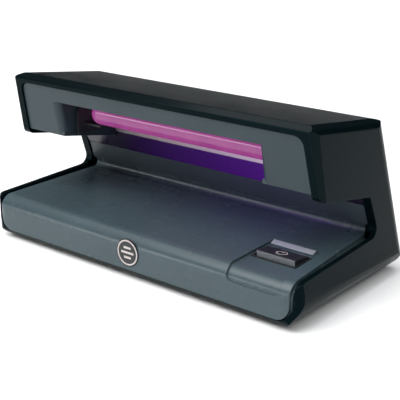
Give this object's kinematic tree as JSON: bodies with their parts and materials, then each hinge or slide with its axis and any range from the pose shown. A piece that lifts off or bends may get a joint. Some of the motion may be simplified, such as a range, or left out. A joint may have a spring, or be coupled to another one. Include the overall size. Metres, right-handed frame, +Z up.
{
  "type": "counterfeit bill detector",
  "caption": "Desktop ultraviolet banknote checker: C-shaped case with an open note throat, a lamp in the hood, a flat deck and a rocker switch in a shallow recess.",
  "frame": {"origin": "on the desk under the middle of the footprint", "axes": "+X to the right seen from the front, +Y to the back, +Z up"},
  "size_m": [0.206, 0.102, 0.092],
  "materials": {
    "shell": "gloss moulded",
    "tray": "fine texture",
    "panel": "satin teal grey",
    "panel_dark": "satin",
    "gloss_black": "gloss",
    "reflector": "brushed",
    "pale_plastic": "smooth",
    "white_plastic": "smooth",
    "brass": "bright",
    "black_plastic": "smooth",
    "grip": "ribbed",
    "steel": "plated",
    "trim_silver": "satin",
    "badge_black": "gloss",
    "board_green": "solder mask",
    "iron": "laminated",
    "copper_tape": "taped winding",
    "capacitor": "sleeve",
    "film": "smooth",
    "aluminium": "brushed",
    "terminal_green": "smooth",
    "wire_red": "smooth",
    "wire_black": "smooth",
    "wire_white": "smooth",
    "rubber": "matte",
    "lamp_glass": "lit tube",
    "clear_glass": "clear"
  },
  "bodies": {
    "housing": {"badge_bar_high": "pale_plastic", "badge_bar_low": "pale_plastic", "badge_bar_middle": "pale_plastic", "badge_disc": "badge_black", "badge_ring": "pale_plastic", "bottom_tray": "tray", "capacitor_can": "capacitor", "choke_core": "iron", "choke_winding": "copper_tape", "circuit_board": "board_green", "column_panel": "panel_dark", "deck_panel": "panel", "film_capacitor": "film", "foot_front_left": "rubber", "foot_front_right": "rubber", "foot_rear_left": "rubber", "foot_rear_right": "rubber", "fuse_cap_left": "steel", "fuse_cap_right": "steel", "fuse_glass": "clear_glass", "heat_sink": "aluminium", "inlet_centre_pin": "steel", "inlet_wire_black": "wire_black", "inlet_wire_red": "wire_red", "lamp_bezel": "panel_dark", "lamp_clip": "black_plastic", "lamp_pin_front": "brass", "lamp_pin_rear": "brass", "lamp_socket": "black_plastic", "lamp_wire_a": "wire_white", "lamp_wire_b": "wire_white", "outer_shell": "shell", "power_inlet": "black_plastic", "power_transistor": "black_plastic", "rear_lower_panel": "gloss_black", "recess_trim_bar": "trim_silver", "reflector": "reflector", "reflector_rail": "pale_plastic", "rocker_pivot_pin": "steel", "screw_front_left": "steel", "screw_front_right": "steel", "screw_rear_left": "steel", "screw_rear_right": "steel", "switch_body": "black_plastic", "switch_terminal_left": "brass", "switch_terminal_right": "brass", "switch_wire_a": "wire_black", "switch_wire_b": "wire_red", "terminal_block": "terminal_green", "uv_lamp_base": "white_plastic", "uv_lamp_tubes": "lamp_glass"},
    "rocker": {"rocker_button": "black_plastic", "rocker_grip_strip": "grip", "rocker_symbol_bar": "pale_plastic", "rocker_symbol_ring": "pale_plastic"}
  },
  "joints": [
    {"name": "rocker_hinge", "type": "hinge", "parent": "housing", "child": "rocker", "pos_m": [0.07565, -0.0238, 0.0215], "axis": [1, 0, 0], "range_deg": [0, 12]}
  ]
}
